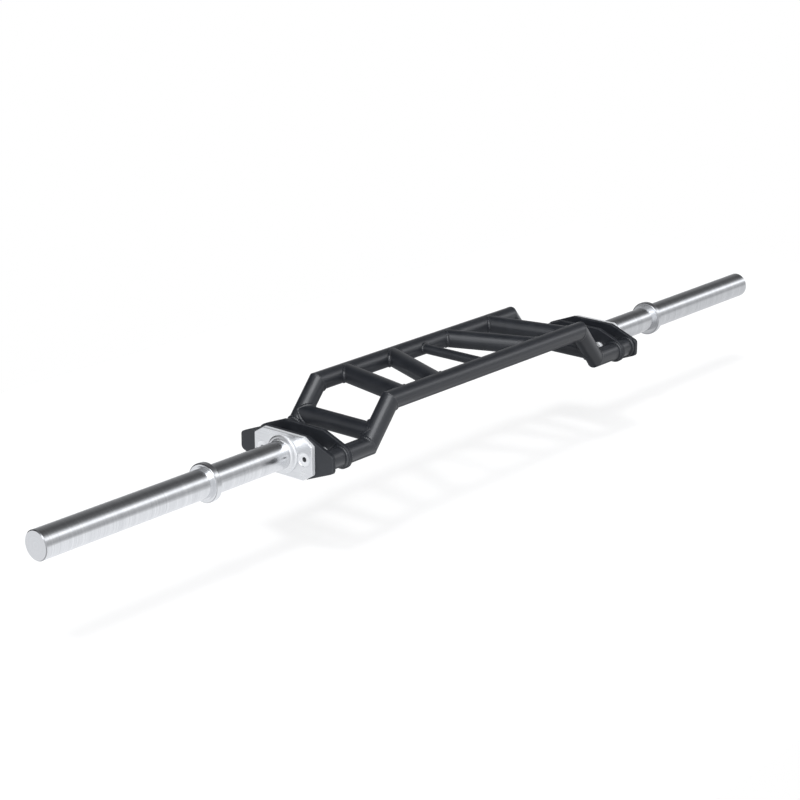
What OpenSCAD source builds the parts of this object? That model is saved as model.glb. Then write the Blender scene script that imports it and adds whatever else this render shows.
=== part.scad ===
// Cambered multi-grip barbell: two parallel side rails with cross grips, end brackets and bolted plate sleeves.
// Units are millimetres. X runs along the bar, Y from front to rear, Z up. The bar rests on Z = 0.

/* [Overall] */
// end to end length of the bar
bar_length = 2000; // [1900:10:2200]
// length of sleeve outside the collar
sleeve_load = 350; // [250:5:420]

/* [Sleeves] */
// outside diameter of the plate sleeve
sleeve_d = 50; // [48:0.5:51]
// how far the rack section, from the flange to the collar, lies below the sleeve's surface
rack_step = 0.3; // [0.3:0.1:1]
// wall of the sleeve tube
sleeve_wall = 6; // [3:0.5:12]
// outside diameter of the stop collar
collar_d = 67; // [60:1:80]
// width of the stop collar
collar_w = 13; // [8:1:24]
// edge radius of the stop collar
collar_edge = 2.5; // [1:0.5:4]
// length of the low ring on the collar's plate side
collar_ring_l = 3; // [1:0.5:5]
// height of that ring above the rack section
collar_ring_h = 3.3; // [2:0.1:4]
// thickness of the end cap outside the tube
cap_t = 5; // [3:0.5:12]
// length of the cap's spigot inside the tube
cap_spigot = 22; // [10:1:40]
// chamfer at the spigot's inner end
cap_lead = 1; // [0.5:0.25:2]
// chamfer of the cap's rim
cap_chamfer = 1.5; // [0.5:0.25:2.5]

/* [Bolted flange] */
// thickness of the flange
flange_t = 8; // [8:0.5:12]
// distance from a screw's centre line to the flange's side
flange_edge = 17.5; // [15:0.5:22]
// width of the flange's top, over its rounded corners
flange_top_w = 96; // [84:1:104]
// height of the flange's straight sides
flange_side_h = 54; // [40:1:60]
// corner radius of the flange
flange_corner = 4; // [2:0.5:6]
// chamfer along the flange's edges
flange_chamfer = 1; // [0.5:0.1:1.5]
// outside diameter of the weld fillet round the sleeve
hub_d = 67; // [60:1:69]
// length of that fillet along the sleeve
hub_l = 8; // [4:0.5:14]
// distance from a rail's centre line to the flange screw beside it
screw_inset = 35; // [32:0.5:38]
// thread diameter of the flange screws
screw_d = 12; // [11:0.5:13]
// head diameter of the flange screws
screw_head_d = 24; // [20:0.5:24]
// how far a screw's end stands out of its nut
screw_tail = 4.7; // [2:0.1:6]
// depth of the head below the flange's face
screw_sunk = 1.2; // [0.5:0.1:1.5]
// width across flats of the screw's hexagon socket
screw_socket = 8; // [6:0.5:8]
// depth of that socket
socket_depth = 5; // [3:0.5:6]
// outside diameter of the washers
washer_d = 24; // [22:0.5:26]
// thickness of the washers
washer_t = 2.5; // [1.5:0.5:3]
// width across flats of the nuts
nut_af = 19; // [18:0.5:20]
// thickness of the nuts
nut_t = 10; // [6:0.5:11]
// outside diameter of the spacer tube round each screw, between the bracket plates
spacer_d = 18; // [17:0.5:20]

/* [End bracket] */
// thickness of the outer bracket plate
outer_plate_t = 8; // [6:0.5:10]
// thickness of the inner bracket plate
inner_plate_t = 8; // [5:0.5:10]
// gap between the two bracket plates
plate_gap = 35; // [30:1:44]
// height of the outer bracket plates
plate_h = 76; // [72:1:84]
// metal outside a foot tube at the plates' front and rear ends
plate_rim = 5; // [3:0.5:10]
// width of the plates' top, over its rounded corners
plate_top_w = 98; // [86:1:112]
// radius of those corners
plate_top_r = 3; // [1.5:0.5:6]
// height of the outer plates at their front and rear ends
plate_ear_h = 35; // [30:1:44]
// corner radius of the outer plates' ends
plate_ear_r = 8; // [5:0.5:12]
// chamfer along the plates' edges
plate_chamfer = 0.8; // [0.4:0.1:1.2]

/* [Rails] */
// outside diameter of the rail tubes
rail_d = 34; // [34:0.5:37]
// wall of the rail tubes
rail_wall = 3; // [2:0.25:4]
// distance between the rail centre lines
rail_spacing = 166; // [160:1:168]
// height of the top rails above the sleeve axis
rise = 67; // [60:1:80]
// length of top rail outside the wide grip's front end, to the mitre
rail_end = 37; // [30:1:60]
// how far a riser runs along the bar, between its two mitres
riser_run = 57; // [40:1:70]
// length of a foot tube from its mitre to the inner plate
foot_l = 64; // [45:1:90]

/* [Grips] */
// outside diameter of the grip tubes
grip_d = 34; // [30:0.5:34]
// wall of the grip tubes
grip_wall = 3; // [2:0.25:4]
// outer angled grip: distance from the middle at the front rail
wide_front_x = 243; // [236:1:248]
// outer angled grip: distance from the middle at the rear rail
wide_rear_x = 207; // [196:1:214]
// inner angled grip: distance from the middle at the front rail
close_front_x = 147; // [140:1:156]
// inner angled grip: distance from the middle at the rear rail
close_rear_x = 78; // [70:1:88]
// height of the low grip above the sleeve axis
low_grip_z = 18.7; // [14:0.1:24]
// diameter of the solid centre bar
centre_bar_d = 18; // [14:0.5:24]

/* [Fits] */
// gap left for the weld at a coped tube end
weld_gap = 0.25; // [0.2:0.05:0.3]
// radial clearance of a tube in its plate or flange
tube_fit = 0.1; // [0.05:0.01:0.2]
// radial clearance of the cap's spigot
spigot_fit = 0.05; // [0.02:0.01:0.1]
// radial clearance of the collar on the sleeve
collar_fit = 0.05; // [0.02:0.01:0.1]
// radial clearance of a screw in its hole
screw_fit = 0.5; // [0.3:0.1:0.75]
// gap between a screw's head and its countersink
seat_gap = 0.1; // [0.05:0.01:0.2]
// radial clearance of a nut on its screw
nut_fit = 0.05; // [0.02:0.01:0.1]

/* [Hidden] */
$fn = 96;
axis_z = plate_h / 2;
sleeve_r = sleeve_d / 2;
rack_r = sleeve_r - rack_step;
rail_r = rail_d / 2;
grip_r = grip_d / 2;
rail_y = rail_spacing / 2;
end_x = bar_length / 2;
collar_x = end_x - sleeve_load;
shoulder_x = collar_x + collar_ring_l;
// places along the bar, from the middle outwards
rail_half = wide_front_x + rail_end;
foot_x = rail_half + riser_run;
inner_back_x = foot_x + foot_l;
inner_face_x = inner_back_x + inner_plate_t;
outer_back_x = inner_face_x + plate_gap;
flange_back_x = outer_back_x + outer_plate_t;
flange_face_x = flange_back_x + flange_t;
plate_w = rail_spacing + rail_d + 2 * plate_rim;
screw_y = rail_y - screw_inset;
flange_w = 2 * (screw_y + flange_edge);
screw_r = screw_d / 2;
head_r = screw_head_d / 2;
head_h = head_r - screw_r;
// a screw runs from the flange through both bracket plates, its washer and its nut
screw_l = flange_face_x - screw_sunk - inner_back_x + washer_t + nut_t + screw_tail;
slope_x = riser_run / rise;
low_grip_x = foot_x - slope_x * low_grip_z;
// how far a cutting shape runs past the face that it cuts
over = 1;
black = [0.06, 0.06, 0.065];
silver = [0.78, 0.79, 0.8];
zinc = [0.68, 0.69, 0.7];

// corner points of a side rail seen from the front, right half: [x, z] above the sleeve axis
p_plate = [outer_back_x, 0];
p_foot = [foot_x, 0];
p_top = [rail_half, rise];
p_top_left = [-rail_half, rise];

function unit(v) = v / norm(v);
function upward(v) = v[1] < 0 ? -v : v;
// direction of the mitre line between two runs that meet at q, pointing up
function mitre(p, q, r) = upward(unit(unit(r - q) - unit(q - p)));

// everything on the right end is mirrored for the left end
module left_end() {
    mirror([1, 0, 0]) children();
}

// a tube along the line a to b in the rail's plane, cut by the mitre lines da and db
module rail_run(a, b, da, db, y) {
    u = unit(b - a);
    len = norm(b - a);
    spare = rail_d;
    cut = 2 * rail_d;
    translate([0, y, axis_z])
    intersection() {
        translate([a[0], 0, a[1]])
        rotate([0, -atan2(u[1], u[0]), 0])
        translate([-spare, 0, 0])
        rotate([0, 90, 0])
        difference() {
            cylinder(d = rail_d, h = len + 2 * spare);
            translate([0, 0, -over])
            cylinder(d = rail_d - 2 * rail_wall, h = len + 2 * spare + 2 * over);
        }
        rotate([90, 0, 0])
        linear_extrude(height = rail_d + 2 * over, center = true)
        polygon([a - cut * da, b - cut * db, b + cut * db, a + cut * da]);
    }
}

// one straight top rail between its two mitres
module top_rail(y) {
    color(black)
    rail_run(p_top_left, p_top, mitre([-foot_x, 0], p_top_left, p_top), mitre(p_top_left, p_top, p_foot), y);
}

// one sloping riser, right end
module riser(y) {
    color(black)
    rail_run(p_top, p_foot, mitre(p_top_left, p_top, p_foot), mitre(p_top, p_foot, p_plate), y);
}

// one short foot tube, right end, through the inner plate to the outer plate
module foot(y) {
    color(black)
    rail_run(p_foot, p_plate, mitre(p_top, p_foot, p_plate), [0, 1], y);
}

// a hollow grip between two points given as [x, y], at height z, before its ends are coped
module grip_tube(a, b, z) {
    d = b - a;
    translate([a[0], a[1], z])
    rotate([0, 0, atan2(d[1], d[0])])
    rotate([0, 90, 0])
    difference() {
        cylinder(d = grip_d, h = norm(d));
        translate([0, 0, -over])
        cylinder(d = grip_d - 2 * grip_wall, h = norm(d) + 2 * over);
    }
}

// the space that both top rails take, with the weld gap
module top_rail_space() {
    for (s = [-1, 1])
        translate([-rail_half, s * rail_y, axis_z + rise])
        rotate([0, 90, 0])
        cylinder(r = rail_r + weld_gap, h = 2 * rail_half);
}

// the space that both right risers take, with the weld gap, run on past their mitres
module riser_space() {
    u = unit(p_top - p_foot);
    spare = 2 * rail_d;
    for (s = [-1, 1])
        translate([foot_x - spare * u[0], s * rail_y, axis_z - spare * u[1]])
        rotate([0, -atan2(u[1], u[0]), 0])
        rotate([0, 90, 0])
        cylinder(r = rail_r + weld_gap, h = norm(p_top - p_foot) + 2 * spare);
}

// an angled grip of the right side, coped to the top rails
module angled_grip(front_x, rear_x) {
    color(black)
    difference() {
        grip_tube([front_x, -rail_y], [rear_x, rail_y], axis_z + rise);
        top_rail_space();
    }
}

// the straight low grip between the right risers
module low_grip() {
    color(black)
    difference() {
        grip_tube([low_grip_x, -rail_y], [low_grip_x, rail_y], axis_z + low_grip_z);
        riser_space();
    }
}

// the thin solid bar across the middle
module centre_bar() {
    color(black)
    difference() {
        translate([0, -rail_y, axis_z + rise])
        rotate([-90, 0, 0])
        cylinder(d = centre_bar_d, h = rail_spacing);
        top_rail_space();
    }
}

// the corners of the outer bracket plate's outline, in the Y and Z directions and drawn in by inset
module outer_corners(inset) {
    for (sy = [-1, 1], sz = [-1, 1]) {
        translate([sy * (plate_top_w / 2 - plate_top_r), sz * (plate_h / 2 - plate_top_r)])
        circle(r = plate_top_r - inset, $fn = 32);
        translate([sy * (plate_w / 2 - plate_ear_r), sz * (plate_ear_h / 2 - plate_ear_r)])
        circle(r = plate_ear_r - inset, $fn = 32);
    }
}

// the same for the inner plate: the same top, ends round about the foot tubes, and a straight lower edge between them
module inner_corners(inset) {
    for (s = [-1, 1]) {
        translate([s * (plate_top_w / 2 - plate_top_r), plate_h / 2 - plate_top_r])
        circle(r = plate_top_r - inset, $fn = 32);
        translate([s * rail_y, 0])
        circle(r = rail_r + plate_rim - inset);
    }
}

// stand flat corners up as posts of length t along X, from x on
module posts_at(x, t) {
    translate([x, 0, axis_z])
    rotate([90, 0, 90])
    linear_extrude(height = t)
    children();
}

// a hole along X at height zero of the sleeve axis
module hole_x(x0, x1, y, r) {
    translate([x0, y, axis_z])
    rotate([0, 90, 0])
    cylinder(r = r, h = x1 - x0);
}

// inner bracket plate with the two holes that the foot tubes pass through and the two screw holes
module inner_plate() {
    color(black)
    difference() {
        hull() {
            posts_at(inner_back_x, inner_plate_t) inner_corners(plate_chamfer);
            posts_at(inner_back_x + plate_chamfer, inner_plate_t - 2 * plate_chamfer) inner_corners(0);
        }
        for (s = [-1, 1]) {
            hole_x(inner_back_x - over, inner_face_x + over, s * rail_y, rail_r + tube_fit);
            hole_x(inner_back_x - over, inner_face_x + over, s * screw_y, screw_r + screw_fit);
        }
    }
}

// outer bracket plate with the two screw holes
module outer_plate() {
    color(black)
    difference() {
        hull() {
            posts_at(outer_back_x, outer_plate_t) outer_corners(plate_chamfer);
            posts_at(outer_back_x + plate_chamfer, outer_plate_t - 2 * plate_chamfer) outer_corners(0);
        }
        for (s = [-1, 1])
            hole_x(outer_back_x - over, flange_back_x + over, s * screw_y, screw_r + screw_fit);
    }
}

// the corners of the flange's outline, drawn in by inset
module flange_corners(inset) {
    for (sy = [-1, 1], sz = [-1, 1]) {
        translate([sy * (flange_top_w / 2 - flange_corner), sz * (plate_h / 2 - flange_corner)])
        circle(r = flange_corner - inset, $fn = 32);
        translate([sy * (flange_w / 2 - flange_corner), sz * (flange_side_h / 2 - flange_corner)])
        circle(r = flange_corner - inset, $fn = 32);
    }
}

// a cone along X for a countersink: radius r0 at x0, r1 at x1
module cone_x(x0, x1, y, r0, r1) {
    translate([x0, y, axis_z])
    rotate([0, 90, 0])
    cylinder(r1 = r0, r2 = r1, h = x1 - x0);
}

// flange with the sleeve's bore and two countersunk screw holes
module flange() {
    face = flange_face_x;
    mouth_r = head_r + screw_sunk + seat_gap;
    color(silver)
    difference() {
        hull() {
            posts_at(flange_back_x, flange_t - flange_chamfer) flange_corners(0);
            posts_at(flange_back_x, flange_t) flange_corners(flange_chamfer);
        }
        hole_x(flange_back_x - over, face + over, 0, rack_r + tube_fit);
        for (s = [-1, 1]) {
            hole_x(flange_back_x - over, face + over, s * screw_y, screw_r + screw_fit);
            cone_x(face - mouth_r + screw_r, face + over, s * screw_y, screw_r, mouth_r + over);
        }
    }
}

// rounded weld fillet between the flange and the sleeve
module hub_fillet() {
    inner_r = rack_r + collar_fit;
    wide = hub_d / 2 - inner_r;
    color(silver)
    translate([flange_face_x, 0, axis_z])
    rotate([0, 90, 0])
    rotate_extrude()
    intersection() {
        translate([inner_r, 0])
        square([wide, hub_l]);
        translate([inner_r, 0])
        scale([1, hub_l / wide])
        circle(r = wide);
    }
}

// sleeve tube from the flange's back to the end cap, with its thinner rack section up to the collar's ring
module sleeve() {
    len = end_x - cap_t - flange_back_x;
    rack_l = shoulder_x - flange_back_x;
    color(silver)
    translate([flange_back_x, 0, axis_z])
    rotate([0, 90, 0])
    difference() {
        union() {
            cylinder(r = rack_r, h = len);
            translate([0, 0, rack_l])
            cylinder(r = sleeve_r, h = len - rack_l);
        }
        translate([0, 0, -over])
        cylinder(r = sleeve_r - sleeve_wall, h = len + 2 * over);
    }
}

// stop collar: a ring with rounded edges and a low ring on its plate side
module collar() {
    r_in = rack_r + collar_fit;
    r_out = collar_d / 2;
    e = collar_edge;
    color(silver)
    translate([collar_x - collar_w, 0, axis_z])
    rotate([0, 90, 0])
    rotate_extrude()
    union() {
        translate([r_in, 0])
        square([r_out - e - r_in, collar_w]);
        translate([r_in, e])
        square([r_out - r_in, collar_w - 2 * e]);
        translate([r_out - e, e])
        circle(r = e, $fn = 32);
        translate([r_out - e, collar_w - e])
        circle(r = e, $fn = 32);
        translate([r_in, 0])
        square([rack_r + collar_ring_h - r_in, collar_w + collar_ring_l]);
    }
}

// cap that closes the sleeve's end
module end_cap() {
    spigot_r = sleeve_r - sleeve_wall - spigot_fit;
    spigot_z = -cap_t - cap_spigot;
    color(silver)
    translate([0, 0, axis_z])
    rotate([0, 90, 0])
    translate([0, 0, end_x])
    rotate_extrude()
    polygon([[0, 0], [sleeve_r - cap_chamfer, 0], [sleeve_r, -cap_chamfer], [sleeve_r, -cap_t],
        [spigot_r, -cap_t], [spigot_r, spigot_z + cap_lead],
        [spigot_r - cap_lead, spigot_z], [0, spigot_z]]);
}

// the two countersunk screws
module screws() {
    head_x = flange_face_x - screw_sunk;
    color(zinc)
    for (s = [-1, 1])
        translate([head_x, s * screw_y, axis_z])
        rotate([0, -90, 0])
        difference() {
            union() {
                cylinder(r1 = head_r, r2 = screw_r, h = head_h);
                cylinder(r = screw_r, h = screw_l);
            }
            translate([0, 0, -over])
            cylinder(d = screw_socket / cos(30), h = socket_depth + over, $fn = 6);
        }
}

// the two spacer tubes round the screws, which hold the bracket plates apart
module spacers() {
    color(zinc)
    for (s = [-1, 1])
        translate([inner_face_x, s * screw_y, axis_z])
        rotate([0, 90, 0])
        difference() {
            cylinder(d = spacer_d, h = plate_gap);
            translate([0, 0, -over])
            cylinder(r = screw_r + screw_fit, h = plate_gap + 2 * over);
        }
}

// the two washers on the inner plate, on the side of the grips
module washers() {
    color(zinc)
    for (s = [-1, 1])
        translate([inner_back_x - washer_t, s * screw_y, axis_z])
        rotate([0, 90, 0])
        difference() {
            cylinder(d = washer_d, h = washer_t);
            translate([0, 0, -over])
            cylinder(r = screw_r + screw_fit, h = washer_t + 2 * over);
        }
}

// the two hexagon nuts on the washers
module nuts() {
    color(zinc)
    for (s = [-1, 1])
        translate([inner_back_x - washer_t - nut_t, s * screw_y, axis_z])
        rotate([0, 90, 0])
        difference() {
            cylinder(d = nut_af / cos(30), h = nut_t, $fn = 6);
            translate([0, 0, -over])
            cylinder(r = screw_r + nut_fit, h = nut_t + 2 * over);
        }
}

top_rail(-rail_y);  // front_top_rail
top_rail(rail_y);  // rear_top_rail
left_end() riser(-rail_y);  // front_riser_left
riser(-rail_y);  // front_riser_right
left_end() riser(rail_y);  // rear_riser_left
riser(rail_y);  // rear_riser_right
left_end() foot(-rail_y);  // front_foot_left
foot(-rail_y);  // front_foot_right
left_end() foot(rail_y);  // rear_foot_left
foot(rail_y);  // rear_foot_right
left_end() low_grip();  // low_grip_left
low_grip();  // low_grip_right
left_end() angled_grip(wide_front_x, wide_rear_x);  // wide_grip_left
angled_grip(wide_front_x, wide_rear_x);  // wide_grip_right
left_end() angled_grip(close_front_x, close_rear_x);  // close_grip_left
angled_grip(close_front_x, close_rear_x);  // close_grip_right
centre_bar();
left_end() inner_plate();  // inner_plate_left
inner_plate();  // inner_plate_right
left_end() outer_plate();  // outer_plate_left
outer_plate();  // outer_plate_right
left_end() flange();  // flange_left
flange();  // flange_right
left_end() hub_fillet();  // hub_fillet_left
hub_fillet();  // hub_fillet_right
left_end() sleeve();  // sleeve_left
sleeve();  // sleeve_right
left_end() collar();  // collar_left
collar();  // collar_right
left_end() end_cap();  // end_cap_left
end_cap();  // end_cap_right
left_end() screws();  // screws_left
screws();  // screws_right
left_end() spacers();  // spacers_left
spacers();  // spacers_right
left_end() washers();  // washers_left
washers();  // washers_right
left_end() nuts();  // nuts_left
nuts();  // nuts_right
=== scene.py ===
"""Looks of a cambered multi-grip barbell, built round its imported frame. Metres, in the frame's own axes:
X along the bar, Y from front to rear, Z up. The bar rests on Z = 0, and the sleeves' axis is at Z = 0.038."""

import math

import bmesh
import bpy
from mathutils import Matrix, Vector


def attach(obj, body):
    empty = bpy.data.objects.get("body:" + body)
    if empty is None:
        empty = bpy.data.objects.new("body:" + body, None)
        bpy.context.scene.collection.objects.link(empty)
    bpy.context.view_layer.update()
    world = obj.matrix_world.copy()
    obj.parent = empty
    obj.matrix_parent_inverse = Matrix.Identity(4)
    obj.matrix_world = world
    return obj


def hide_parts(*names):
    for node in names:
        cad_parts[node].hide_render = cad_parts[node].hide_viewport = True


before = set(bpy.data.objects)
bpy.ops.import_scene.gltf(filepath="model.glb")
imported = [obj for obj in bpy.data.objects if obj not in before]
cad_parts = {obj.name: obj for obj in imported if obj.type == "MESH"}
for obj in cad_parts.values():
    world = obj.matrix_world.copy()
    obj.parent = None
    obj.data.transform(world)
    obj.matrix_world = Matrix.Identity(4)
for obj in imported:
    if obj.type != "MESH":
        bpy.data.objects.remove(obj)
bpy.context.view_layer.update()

# ---- Camera ----
# The photograph is taken off the bar's left end, from the front and above, with a long lens.
# The place, the angles and the lens come from a fit to the bar's edges, and the picture is square.
CAMERA_PLACE = (-2.8515, -2.2503, 1.19896)
LENS_MM, SENSOR_MM = 93.056, 36.0
yaw, pitch, roll = math.radians(50.178), math.radians(-18.008), math.radians(0.183)
ahead = Vector((math.sin(yaw) * math.cos(pitch), math.cos(yaw) * math.cos(pitch), math.sin(pitch)))
level = Vector((math.cos(yaw), -math.sin(yaw), 0.0))
upward = level.cross(ahead)
camera_right = level * math.cos(roll) + upward * math.sin(roll)
camera_top = upward * math.cos(roll) - level * math.sin(roll)
camera_data = bpy.data.cameras.new("photo_camera")
camera_data.sensor_width = SENSOR_MM
camera_data.lens = LENS_MM
camera = bpy.data.objects.new("photo_camera", camera_data)
bpy.context.scene.collection.objects.link(camera)
camera_turn = Matrix((camera_right, camera_top, -ahead)).transposed().to_4x4()
camera.matrix_world = Matrix.Translation(CAMERA_PLACE) @ camera_turn
bpy.context.scene.camera = camera

# ---- Side rails and cross grips ----
# Round steel tube of one size, mitred into two cambered rails, with the grips coped and welded between them.
# All of it is coated in one go with black powder, which bakes to a fine satin texture and is thin on edges,
# where the colour carries a painted highlight.
ENDS = ("left", "right")
TOP_RAILS = ("front_top_rail", "rear_top_rail")
RAIL_TUBES = ("front_riser", "front_foot", "rear_riser", "rear_foot")
GRIPS = ("low_grip", "wide_grip", "close_grip")


def add_node(material, kind, values=None, **settings):
    """One shader node, with its settings and its sockets' own values."""
    node = material.node_tree.nodes.new(kind)
    for key, value in settings.items():
        setattr(node, key, value)
    for key, value in (values or {}).items():
        node.inputs[key].default_value = value
    return node


def wire(material, source, node, target):
    """Leads the output of one node to a socket of another."""
    material.node_tree.links.new(source, node.inputs[target])


def finish_start(name):
    """A new finish: the material, its shader, and the piece's own coordinates."""
    material = bpy.data.materials.new(name)
    material.use_nodes = True
    shader = material.node_tree.nodes["Principled BSDF"]
    return material, shader, add_node(material, "ShaderNodeTexCoord").outputs["Object"]


def noise(material, place, scale, detail, rough=0.5):
    """A cloudy pattern, about 1 / scale metres from cloud to cloud."""
    node = add_node(material, "ShaderNodeTexNoise", {"Scale": scale, "Detail": detail, "Roughness": rough})
    wire(material, place, node, "Vector")
    return node.outputs["Fac"]


def spread(material, value, low, high, from_low=0.0, from_high=1.0):
    """Stretches the run of a value from from_low to from_high, to one from low to high."""
    ends = {"From Min": from_low, "From Max": from_high, "To Min": low, "To Max": high}
    node = add_node(material, "ShaderNodeMapRange", ends)
    wire(material, value, node, "Value")
    return node.outputs["Result"]


def reckon(material, operation, *terms):
    """A sum. Each term is a number or the output of another node."""
    node = add_node(material, "ShaderNodeMath", operation=operation)
    for i, term in enumerate(terms):
        if isinstance(term, float):
            node.inputs[i].default_value = term
        else:
            wire(material, term, node, i)
    return node.outputs["Value"]


def two_tone(material, value, low, dark, high, pale):
    """A colour that goes from dark to pale while a value goes from low to high."""
    node = add_node(material, "ShaderNodeValToRGB")
    for i, (spot, colour) in enumerate(((low, dark), (high, pale))):
        node.color_ramp.elements[i].position = spot
        node.color_ramp.elements[i].color = (*colour, 1.0)
    wire(material, value, node, "Fac")
    return node.outputs["Color"]


def mix_in(material, share, colour, other):
    """A colour with a plain other colour mixed in by its share."""
    node = add_node(material, "ShaderNodeMix", {"B": (*other, 1.0)}, data_type="RGBA")
    wire(material, share, node, "Factor")
    wire(material, colour, node, "A")
    return node.outputs["Result"]


def relief(material, height, strength, depth, under=None):
    """Fine relief from a pattern, laid over another relief if there is one."""
    node = add_node(material, "ShaderNodeBump", {"Strength": strength, "Distance": depth})
    wire(material, height, node, "Height")
    if under is not None:
        wire(material, under, node, "Normal")
    return node.outputs["Normal"]


def edges(material):
    """A value that is 1 on sharp edges and 0 on smooth faces."""
    rounded = add_node(material, "ShaderNodeBevel", {"Radius": 0.0012}, samples=6)
    flat = add_node(material, "ShaderNodeNewGeometry")
    turn = add_node(material, "ShaderNodeVectorMath", operation="DOT_PRODUCT")
    wire(material, rounded.outputs["Normal"], turn, 0)
    wire(material, flat.outputs["Normal"], turn, 1)
    return spread(material, turn.outputs["Value"], 1.0, 0.0, 0.86, 0.995)


def powder_coat(name, skin):
    """Black powder coat. skin says how much of the powder's smoother skin lies on it, from 0 to 1."""
    material, shader, place = finish_start(name)
    grain = noise(material, place, 1100.0, 2.0, 0.6)
    cloud = noise(material, place, 38.0, 4.0, 0.55)
    peel = noise(material, place, 230.0, 2.0)
    tint = two_tone(material, cloud, 0.32, (0.0092, 0.0110, 0.0148), 0.70, (0.0150, 0.0172, 0.0222))
    # the sharp edges are painted lighter in patches: a painted highlight where they catch the light, and wear of
    # the thin coat
    patchy = spread(material, cloud, 0.25, 1.0, 0.35, 0.65)
    edge_highlight_and_wear = reckon(material, "MULTIPLY", edges(material), patchy)
    wire(material, mix_in(material, edge_highlight_and_wear, tint, (0.105, 0.108, 0.115)), shader, "Base Color")
    wire(material, spread(material, cloud, 0.46, 0.58, 0.3, 0.7), shader, "Roughness")
    # the baked powder keeps a slight orange peel under its grain
    waves = relief(material, peel, 0.35, 0.0004)
    wire(material, relief(material, grain, 0.35, 0.00012, waves), shader, "Normal")
    wire(material, waves, shader, "Coat Normal")
    shader.inputs["IOR"].default_value = 1.5
    # the powder flows into a smoother skin over its own texture
    shader.inputs["Coat Weight"].default_value = skin
    shader.inputs["Coat Roughness"].default_value = 0.28
    shader.inputs["Coat IOR"].default_value = 1.5
    return material


def at_both_ends(*parts):
    return [f"{part}_{end}" for part in parts for end in ENDS]


def dress(names, material):
    """Gives the frame's own pieces their finish."""
    for name in names:
        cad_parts[name].material_slots[0].material = material


coat = powder_coat("black_powder_coat", 1.0)
dress([*TOP_RAILS, *at_both_ends(*RAIL_TUBES, *GRIPS), "centre_bar"], coat)

# ---- Bracket plates ----
# Two flame-cut steel plates at each end: the foot tubes pass through the inner one and are welded to the outer.
# They carry the same black powder coat as the tubes, which lies a little drier on the flat faces.
dress(at_both_ends("inner_plate", "outer_plate"), powder_coat("black_powder_coat_on_plate", 0.15))

# ---- Weld beads ----
# Every coped or mitred joint is closed by a run of weld laid by hand, in short overlapping ripples.
# The beads lie under the powder coat. Those of the mitres are dressed nearly flush, and none tops the rails.
AXIS_Z = 0.038
RAIL_Y, RAIL_R, RAIL_Z = 0.083, 0.017, 0.105
RAIL_HALF, FOOT_X = 0.280, 0.337
RAIL_TOP = RAIL_Z + RAIL_R
LOW_GRIP_RISE = 0.0187
LOW_GRIP_X = FOOT_X - (FOOT_X - RAIL_HALF) / (RAIL_Z - AXIS_Z) * LOW_GRIP_RISE
CENTRE_BAR_R = 0.009
# where an angled grip meets the front rail and the rear one, from the middle of the bar
ANGLED_GRIPS = (("wide", 0.243, 0.207), ("close", 0.147, 0.078))
# the plates' faces that the foot tubes are welded to, and which way each faces: 1 is outward
PLATE_FACES = (("inner_plate", 0.401, -1), ("inner_plate_back", 0.409, 1), ("outer_plate", 0.444, -1))
HANDS = (("left", -1.0), ("right", 1.0))
SIDES = (("front", -RAIL_Y), ("rear", RAIL_Y))
# a bead starts as a ring this far before its seam, and is then pushed on to it
LEAD = 0.05
BEAD_R, MITRE_BEAD_R, PLATE_BEAD_R, BAR_BEAD_R = 0.0046, 0.0042, 0.0036, 0.0034
RIPPLE_LENGTH = 0.0036
BEAD_FACETS = 10


def make_piece(name, shape, material):
    """Puts a finished shape into the scene, with its material."""
    mesh = bpy.data.meshes.new(name)
    shape.to_mesh(mesh)
    shape.free()
    mesh.materials.append(material)
    piece = bpy.data.objects.new(name, mesh)
    bpy.context.scene.collection.objects.link(piece)
    return piece


def on_tube(through, along, radius):
    """The surface of another tube, as the distance to it along a line and its outward normal there."""

    def meet(point, ahead):
        off = (point - through) - along * (point - through).dot(along)
        run = ahead - along * ahead.dot(along)
        a, b, c = run.dot(run), 2 * off.dot(run), off.dot(off) - radius * radius
        reach = (-b - math.sqrt(max(b * b - 4 * a * c, 0.0))) / (2 * a)
        spot = off + run * reach
        return reach, spot.normalized()

    return meet


def on_plane(through, normal, outward=None):
    """A flat seam, or a plate's face, as on_tube. outward gives the normal of what lies past a flat seam."""

    def meet(point, ahead):
        reach = (through - point).dot(normal) / ahead.dot(normal)
        spot = point + ahead * reach
        return reach, outward(spot) if outward else normal

    return meet


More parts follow.
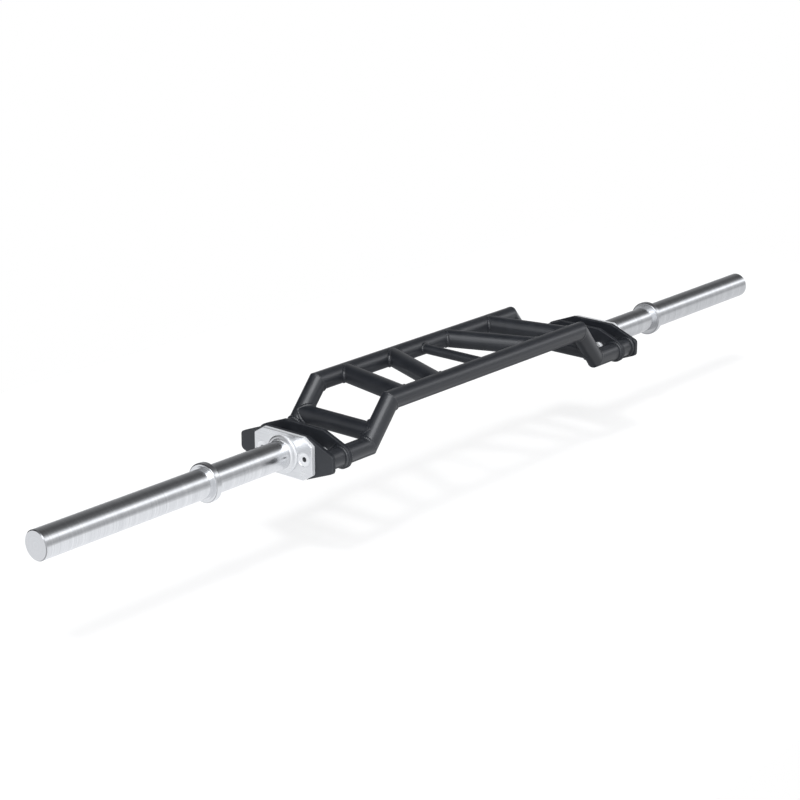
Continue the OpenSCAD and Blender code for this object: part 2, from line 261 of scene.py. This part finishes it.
def weld_bead(name, corner, ahead, tube_r, meet, bead_r=BEAD_R, steps=168, dressed=False):
    """A round section spun about the tube's line, then pushed along that line to the seam."""
    side = ahead.orthogonal().normalized()
    shape = bmesh.new()
    turned = Matrix((side, ahead, side.cross(ahead))).transposed().to_4x4()
    bmesh.ops.create_circle(
        shape, segments=BEAD_FACETS, radius=bead_r, matrix=Matrix.Translation(corner + side * tube_r) @ turned
    )
    bmesh.ops.spin(
        shape, geom=shape.verts[:] + shape.edges[:], cent=corner, axis=ahead,
        angle=2 * math.pi, steps=steps, use_merge=True,
    )
    bmesh.ops.remove_doubles(shape, verts=shape.verts[:], dist=1e-6)
    ripples = round(2 * math.pi * tube_r / RIPPLE_LENGTH)
    for vert in shape.verts:
        rel = vert.co - corner
        along = rel.dot(ahead)
        out = rel - ahead * along
        radial = out.normalized()
        proud = out.length - tube_r
        reach, other = meet(corner + radial * tube_r, ahead)
        lean = other.dot(ahead)
        # a dressed bead sinks nearly to its skin, most where the tubes fold apart
        if dressed:
            sunk = bead_r * (0.93 + (0.13 if lean > 0 else 0.85) * lean)
        else:
            sunk = max(0.0, radial.dot(other)) * bead_r * 0.72
        # the ripples, and a slow swell that differs from bead to bead
        turn = math.atan2(radial.dot(side), radial.dot(side.cross(ahead)))
        puddle = 1.0 + 0.09 * abs(math.sin(ripples * turn / 2 + 0.25 * along / bead_r)) - 0.05
        puddle += 0.04 * math.sin(3 * turn + 40 * corner.x)
        middle = corner + radial * tube_r + ahead * reach - (radial + other).normalized() * sunk
        vert.co = middle + (radial * proud + ahead * along) * puddle
        vert.co.z = min(vert.co.z, RAIL_TOP - 0.00005)
    bmesh.ops.recalc_face_normals(shape, faces=shape.faces[:])
    bead = make_piece(name, shape, coat)
    bead.data.shade_smooth()
    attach(bead, "root")


for end, s in HANDS:
    for side, y in SIDES:
        inward = -1.0 if y > 0 else 1.0
        for grip, front_x, rear_x in ANGLED_GRIPS:
            here = Vector((s * (front_x if y < 0 else rear_x), y, RAIL_Z))
            there = Vector((s * (rear_x if y < 0 else front_x), -y, RAIL_Z))
            run = (here - there).normalized()
            rail = on_tube(Vector((0, y, RAIL_Z)), Vector((1, 0, 0)), RAIL_R)
            weld_bead(f"weld_{grip}_grip_{side}_{end}", here - run * LEAD, run, RAIL_R, rail)
        # low grip to the riser
        top, foot = Vector((s * RAIL_HALF, y, RAIL_Z)), Vector((s * FOOT_X, y, AXIS_Z))
        riser_run = (foot - top).normalized()
        low_start = Vector((s * LOW_GRIP_X, y + inward * LEAD, AXIS_Z + LOW_GRIP_RISE))
        weld_bead(
            f"weld_low_grip_{side}_{end}", low_start, Vector((0, -inward, 0)), RAIL_R,
            on_tube(foot, riser_run, RAIL_R),
        )
        # mitres of the rail
        for seam, at, ahead_run, next_run in (
            ("knee", top, Vector((s, 0, 0)), riser_run),
            ("ankle", foot, riser_run, Vector((s, 0, 0))),
        ):
            plane = (ahead_run + next_run).normalized()

            def past(spot, at=at, next_run=next_run):
                off = spot - at
                return (off - next_run * off.dot(next_run)).normalized()

            weld_bead(
                f"weld_{seam}_{side}_{end}", at - ahead_run * LEAD, ahead_run, RAIL_R,
                on_plane(at, plane, past), bead_r=MITRE_BEAD_R, dressed=True,
            )
        # foot tube to the two plates
        for seam, x, facing in PLATE_FACES:
            on_face, normal = Vector((s * x, y, AXIS_Z)), Vector((s * facing, 0, 0))
            weld_bead(
                f"weld_foot_{seam}_{side}_{end}", on_face, -normal, RAIL_R,
                on_plane(on_face, normal), bead_r=PLATE_BEAD_R,
            )
for side, y in SIDES:
    inward = -1.0 if y > 0 else 1.0
    weld_bead(
        f"weld_centre_bar_{side}", Vector((0, y + inward * LEAD, RAIL_Z)), Vector((0, -inward, 0)), CENTRE_BAR_R,
        on_tube(Vector((0, y, RAIL_Z)), Vector((1, 0, 0)), RAIL_R), bead_r=BAR_BEAD_R, steps=96,
    )

# ---- Sleeves, collars, end caps ----
# Turned steel tube and rings with bright plating. The lathe leaves fine rings round the axis,
# and the plates that slide on and off haze the plating a little here and there.


def mapped(material, place, **moves):
    """Coordinates that are moved or stretched."""
    node = add_node(material, "ShaderNodeMapping", moves)
    wire(material, place, node, "Vector")
    return node.outputs["Vector"]


def split(material, vector):
    node = add_node(material, "ShaderNodeSeparateXYZ")
    wire(material, vector, node, "Vector")
    return node.outputs


def off_line(material, y, z):
    """Distance from a line along the bar, from the distances in Y and in Z."""
    across = add_node(material, "ShaderNodeCombineXYZ")
    wire(material, y, across, "Y")
    wire(material, z, across, "Z")
    length = add_node(material, "ShaderNodeVectorMath", operation="LENGTH")
    wire(material, across.outputs["Vector"], length, 0)
    return length.outputs["Value"]


def endways(material):
    """How far the surface faces along the bar: 1 on end faces, 0 round the tubes."""
    facing = add_node(material, "ShaderNodeNewGeometry").outputs["Normal"]
    return reckon(material, "ABSOLUTE", split(material, facing)["X"])


def lathe_rings(material, travel, scale, detail, rough=0.5):
    """A pattern that changes only along the way of the lathe tool."""
    values = {"Scale": scale, "Detail": detail, "Roughness": rough}
    node = add_node(material, "ShaderNodeTexNoise", values, noise_dimensions="1D")
    wire(material, travel, node, "W")
    return node.outputs["Fac"]


def turned_steel():
    material, shader, place = finish_start("turned_plated_steel")
    centred = mapped(material, place, Location=(0.0, 0.0, -AXIS_Z))
    # the tool runs along the axis, and out from it on the faces
    parts = split(material, centred)
    travel = reckon(material, "ADD", parts["X"], off_line(material, parts["Y"], parts["Z"]))
    rings = lathe_rings(material, travel, 330.0, 3.0, 0.7)
    bands = lathe_rings(material, travel, 55.0, 2.0)
    haze = noise(material, centred, 26.0, 5.0, 0.6)
    mottle = noise(material, centred, 210.0, 2.0)
    blend = reckon(material, "MULTIPLY_ADD", rings, 0.6, spread(material, bands, 0.0, 0.4))
    tint = two_tone(material, blend, 0.34, (0.690, 0.698, 0.712), 0.66, (0.810, 0.816, 0.826))
    # the narrow chamfers and rounded corners, which face about 45 degrees off, are painted darker: a painted
    # shade line along them
    off_corner = reckon(material, "ABSOLUTE", reckon(material, "SUBTRACT", endways(material), 0.72))
    chamfer_shade = spread(material, off_corner, 1.0, 0.0, 0.08, 0.22)
    wire(material, mix_in(material, chamfer_shade, tint, (0.40, 0.405, 0.415)), shader, "Base Color")
    wire(material, spread(material, haze, 0.15, 0.23, 0.3, 0.7), shader, "Roughness")
    # plating over a turned surface is never quite even
    uneven = relief(material, mottle, 0.15, 0.0004)
    wire(material, relief(material, rings, 0.12, 0.00005, uneven), shader, "Normal")
    shader.inputs["Metallic"].default_value = 1.0
    return material


dress(at_both_ends("sleeve", "collar", "end_cap"), turned_steel())

# ---- Flanges ----
# A cut and ground steel plate, bright plated as the sleeve is, with the grinder's fine straight grain.
# Its cut edges are blasted, and look paler than the ground face.


def ground_steel():
    material, shader, place = finish_start("ground_plated_steel")
    grain = noise(material, mapped(material, place, Scale=(400.0, 30.0, 700.0)), 1.0, 3.0, 0.6)
    haze = noise(material, place, 45.0, 4.0, 0.6)
    tint = two_tone(material, grain, 0.25, (0.690, 0.700, 0.712), 0.75, (0.800, 0.806, 0.814))
    # the cut edges are matt and pale beside the ground face
    cut_edge = spread(material, endways(material), 1.0, 0.0, 0.45, 0.80)
    wire(material, mix_in(material, cut_edge, tint, (0.84, 0.85, 0.86)), shader, "Base Color")
    dull = spread(material, haze, 0.24, 0.36, 0.3, 0.7)
    wire(material, reckon(material, "ADD", dull, spread(material, cut_edge, 0.0, 0.30)), shader, "Roughness")
    wire(material, spread(material, cut_edge, 1.0, 0.35), shader, "Metallic")
    wire(material, relief(material, grain, 0.12, 0.00006), shader, "Normal")
    return material


ground = ground_steel()
dress(at_both_ends("flange"), ground)

# ---- Weld fillets of the sleeves ----
# The sleeve is welded into its flange all round. The weld is dressed to a rounded lip, with a cove that runs
# down to the sleeve, and is plated over with the flange.
FLANGE_FACE = 0.460
# section of the ring in millimetres: distance out from the flange's face, and distance from the axis
SLEEVE_SIDE = ((0.0, 24.75), (0.0, 33.45))
LIP = ((1.3, 33.40), (2.5, 33.0), (3.5, 32.2), (4.1, 31.1), (4.35, 29.8))
COVE_MIDDLE, COVE_LENGTH, COVE_DEPTH, COVE_STEPS = (8.0, 28.3), 3.5, 3.55, 7
FILLET_STEPS = 120
quarter = [i * math.pi / (2 * COVE_STEPS) for i in range(COVE_STEPS + 1)]
cove = [
    (COVE_MIDDLE[0] - COVE_LENGTH * math.cos(a), COVE_MIDDLE[1] - COVE_DEPTH * math.sin(a)) for a in quarter
]
for end, s in HANDS:
    fillet = bmesh.new()
    rim = [
        fillet.verts.new((s * (FLANGE_FACE + out / 1000), 0.0, AXIS_Z + r / 1000))
        for out, r in (*SLEEVE_SIDE, *LIP, *cove)
    ]
    for here, there in zip(rim, rim[1:] + rim[:1]):
        fillet.edges.new((here, there))
    bmesh.ops.spin(
        fillet, geom=fillet.verts[:] + fillet.edges[:], cent=(0.0, 0.0, AXIS_Z), axis=(1.0, 0.0, 0.0),
        angle=2 * math.pi, steps=FILLET_STEPS, use_merge=True,
    )
    bmesh.ops.remove_doubles(fillet, verts=fillet.verts[:], dist=1e-6)
    bmesh.ops.recalc_face_normals(fillet, faces=fillet.faces[:])
    ring = make_piece(f"sleeve_weld_fillet_{end}", fillet, ground)
    ring.data.shade_smooth()
    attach(ring, "root")
    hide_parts(f"hub_fillet_{end}")

# ---- Screws, spacers, washers and nuts ----
# Bought steel fasteners with a dull zinc plating: two countersunk socket screws run from each flange through
# both bracket plates, inside a spacer tube, to a plain washer and a hexagon nut on the inner plate.
SCREW_Y = 0.048
SOCKET_R, SOCKET_FLOOR_X = 0.0048, 0.4515


def zinc_plate():
    material, shader, place = finish_start("zinc_plated_steel")
    spangle = noise(material, place, 260.0, 3.0, 0.6)
    cloud = noise(material, place, 60.0, 3.0)
    tint = two_tone(material, cloud, 0.3, (0.76, 0.77, 0.78), 0.7, (0.88, 0.885, 0.89))
    # painted shade darkens the hexagon sockets: near a screw's line, and only in its head
    parts = split(material, place)
    off_y = reckon(material, "SUBTRACT", reckon(material, "ABSOLUTE", parts["Y"]), SCREW_Y)
    off_z = reckon(material, "SUBTRACT", reckon(material, "ABSOLUTE", parts["Z"]), AXIS_Z)
    inside = spread(material, off_line(material, off_y, off_z), 1.0, 0.0, SOCKET_R - 0.0005, SOCKET_R)
    outward = reckon(material, "ABSOLUTE", parts["X"])
    in_head = spread(material, outward, 0.0, 1.0, SOCKET_FLOOR_X - 0.001, SOCKET_FLOOR_X)
    socket_shade = reckon(material, "MULTIPLY", inside, in_head)
    wire(material, mix_in(material, socket_shade, tint, (0.16, 0.164, 0.172)), shader, "Base Color")
    wire(material, spread(material, spangle, 0.28, 0.42, 0.3, 0.7), shader, "Roughness")
    wire(material, relief(material, spangle, 0.10, 0.00006), shader, "Normal")
    shader.inputs["Metallic"].default_value = 0.6
    return material


dress(at_both_ends("screws", "spacers", "washers", "nuts"), zinc_plate())

# ---- Floor ----
# A pale lit table, like the sheet under a product photograph. The photograph shows the bar's soft shadow
# some way below the bar, so the table lies that much lower than the bar's own feet.
TABLE_HALF, TABLE_MIDDLE = (1.9, 1.05), (0.05, 0.05, -0.158)
TABLE_GREY, TABLE_GLOW = 0.28, 0.79
# what the bar mirrors of the table: pale, and less lit towards its right end. Each stop is X and light.
TABLE_REACH = 2.0
TABLE_LIGHT = (
    (-2.0, 0.84), (-1.3, 0.87), (-0.9, 1.0), (-0.3, 0.98), (-0.05, 0.68), (0.3, 0.47), (0.6, 0.48), (0.9, 0.72),
    (2.0, 0.70),
)
STUDIO_WHITE = (0.975, 0.99, 1.02, 1.0)


def flat_sheet(name, half, middle, material):
    shape = bmesh.new()
    bmesh.ops.create_grid(shape, x_segments=1, y_segments=1, size=1.0)
    bmesh.ops.scale(shape, vec=(*half, 1.0), verts=shape.verts[:])
    bmesh.ops.translate(shape, vec=middle, verts=shape.verts[:])
    return make_piece(name, shape, material)


def light_ramp(material, value, stops):
    """Light that follows a list of stops, each a place from 0 to 1 and how bright it is there."""
    node = add_node(material, "ShaderNodeValToRGB")
    elements = node.color_ramp.elements
    elements.remove(elements[1])
    for i, (spot, light) in enumerate(stops):
        stop = elements[0] if i == 0 else elements.new(spot)
        stop.position = spot
        stop.color = (light, light, light, 1.0)
    wire(material, value, node, "Fac")
    return node.outputs["Color"]


def camera_or_not(material, for_others, for_camera):
    """One shader for the camera, and another for the light that falls on the bar and is mirrored in it."""
    seen = add_node(material, "ShaderNodeLightPath")
    either = add_node(material, "ShaderNodeMixShader")
    wire(material, seen.outputs["Is Camera Ray"], either, 0)
    wire(material, for_others, either, 1)
    wire(material, for_camera, either, 2)
    return either.outputs["Shader"]


paper, paper_shader, paper_place = finish_start("lit_table")
paper_shader.inputs["Base Color"].default_value = (TABLE_GREY, TABLE_GREY, TABLE_GREY, 1.0)
paper_shader.inputs["Roughness"].default_value = 1.0
paper_shader.inputs["Specular IOR Level"].default_value = 0.0
paper_shader.inputs["Emission Color"].default_value = (1.0, 1.0, 1.0, 1.0)
paper_shader.inputs["Emission Strength"].default_value = TABLE_GLOW
along_table = spread(paper, split(paper, paper_place)["X"], 0.0, 1.0, -TABLE_REACH, TABLE_REACH)
table_stops = [(x / (2 * TABLE_REACH) + 0.5, light) for x, light in TABLE_LIGHT]
glow = add_node(paper, "ShaderNodeEmission", {"Color": STUDIO_WHITE})
wire(paper, light_ramp(paper, along_table, table_stops), glow, "Strength")
paper_look = camera_or_not(paper, glow.outputs["Emission"], paper_shader.outputs["BSDF"])
wire(paper, paper_look, paper.node_tree.nodes["Material Output"], "Surface")
flat_sheet("table", TABLE_HALF, TABLE_MIDDLE, paper)

# ---- Shade between the rails ----
# The bar's own shade on the floor right under it, which the photograph shows only as dark streaks mirrored in
# the tubes. It is a dim flat sheet that nothing but mirrored rays can see.
SHADE_HALF, SHADE_MIDDLE = (0.43, 0.24), (0.0, 0.14, -0.004)
SHADE_COLOUR = (0.13, 0.135, 0.145, 1.0)
dim, dim_shader, _ = finish_start("dim_table")
dim.node_tree.nodes.remove(dim_shader)
dim_glow = add_node(dim, "ShaderNodeEmission", {"Color": SHADE_COLOUR, "Strength": 1.0})
wire(dim, dim_glow.outputs["Emission"], dim.node_tree.nodes["Material Output"], "Surface")
shade = flat_sheet("shade_under_bar", SHADE_HALF, SHADE_MIDDLE, dim)
shade.visible_camera = shade.visible_diffuse = shade.visible_shadow = shade.visible_transmission = False

# ---- Studio light ----
# Long soft boxes and dark gaps run parallel to the bar, and the sleeves mirror them as streaks: a strip light
# high in front, a darker ceiling, grey walls. One soft lamp from the left gives the shadow on the table.
# right half, by the angle round the bar in degrees: 0 at the front horizon, 90 straight up, below 0 the table
RIGHT_HALF = (
    (-180, 0.45), (-165, 0.80), (-150, 0.85), (-30, 0.85), (-17, 0.75), (-6, 0.60), (2, 0.44), (16, 0.48),
    (27, 0.58), (34, 0.98), (39, 1.50), (49, 1.40), (57, 0.80), (66, 0.38), (76, 0.16), (98, 0.10), (111, 0.10),
    (128, 0.15), (148, 0.21), (170, 0.33), (180, 0.40),
)
# left half, by the compass: -90 in front, 90 at the rear, 180 past the bar's left end
LEFT_HALF = (
    (-180, 1.25), (-160, 1.20), (-130, 0.90), (-90, 0.60), (-40, 0.50), (0, 0.40), (40, 0.30), (62, 0.03),
    (116, 0.03), (126, 0.25), (143, 0.45), (163, 0.60), (172, 0.95), (180, 1.25),
)
# a ramp holds light up to 1, so the stops are halved and the sum is doubled
RAMP_SHARE = 0.5
KEY_BOX_WAY, KEY_BOX_LIGHT = (-0.50, -0.38, 0.778), 1.5
KEY_BOX_CORE, KEY_BOX_RIM = math.radians(17), math.radians(26)
LAMP_WAY, LAMP_STRENGTH, LAMP_SPREAD = (-0.53, -0.24, 1.0), 1.1, math.radians(10.0)

world = bpy.data.worlds.new("studio")
bpy.context.scene.world = world
world.use_nodes = True
world.node_tree.nodes.clear()
sky = add_node(world, "ShaderNodeTexCoord").outputs["Generated"]
axes = split(world, sky)


def light_by_angle(rise, run, stops):
    """Light by the angle whose tangent is rise over run."""
    angle = reckon(world, "ARCTAN2", rise, run)
    part = spread(world, angle, 0.0, 1.0, -math.pi, math.pi)
    return light_ramp(world, part, [(degrees / 360 + 0.5, light * RAMP_SHARE) for degrees, light in stops])


right_half = light_by_angle(axes["Z"], reckon(world, "MULTIPLY", axes["Y"], -1.0), RIGHT_HALF)
left_half = light_by_angle(axes["Y"], axes["X"], LEFT_HALF)
# the left half fades out overhead
left_faded = reckon(world, "MULTIPLY", left_half, spread(world, axes["Z"], 1.0, 0.12, 0.62, 0.92))
halves = add_node(world, "ShaderNodeMix", data_type="FLOAT")
wire(world, spread(world, axes["X"], 0.0, 1.0, 0.20, 0.55), halves, "Factor")
wire(world, left_faded, halves, "A")
wire(world, right_half, halves, "B")
# the key soft box, high to the left in front
facing_key = add_node(world, "ShaderNodeVectorMath", {1: KEY_BOX_WAY}, operation="DOT_PRODUCT")
wire(world, sky, facing_key, 0)
key_box = spread(
    world, facing_key.outputs["Value"], 0.0, KEY_BOX_LIGHT, math.cos(KEY_BOX_RIM), math.cos(KEY_BOX_CORE)
)
key_box.node.interpolation_type = "SMOOTHSTEP"
total = reckon(world, "ADD", halves.outputs["Result"], key_box)
lights = add_node(world, "ShaderNodeBackground", {"Color": STUDIO_WHITE})
wire(world, reckon(world, "MULTIPLY", total, 1.0 / RAMP_SHARE), lights, "Strength")
backdrop = add_node(world, "ShaderNodeBackground", {"Color": (1.0, 1.0, 1.0, 1.0), "Strength": 1.0})
world_look = camera_or_not(world, lights.outputs["Background"], backdrop.outputs["Background"])
wire(world, world_look, add_node(world, "ShaderNodeOutputWorld"), "Surface")

lamp_data = bpy.data.lights.new("soft_lamp", "SUN")
lamp_data.energy = LAMP_STRENGTH
lamp_data.angle = LAMP_SPREAD
lamp = bpy.data.objects.new("soft_lamp", lamp_data)
bpy.context.scene.collection.objects.link(lamp)
lamp.matrix_world = Vector(LAMP_WAY).to_track_quat("Z", "Y").to_matrix().to_4x4()
lamp.visible_glossy = False

bpy.context.scene.view_settings.view_transform = "Standard"
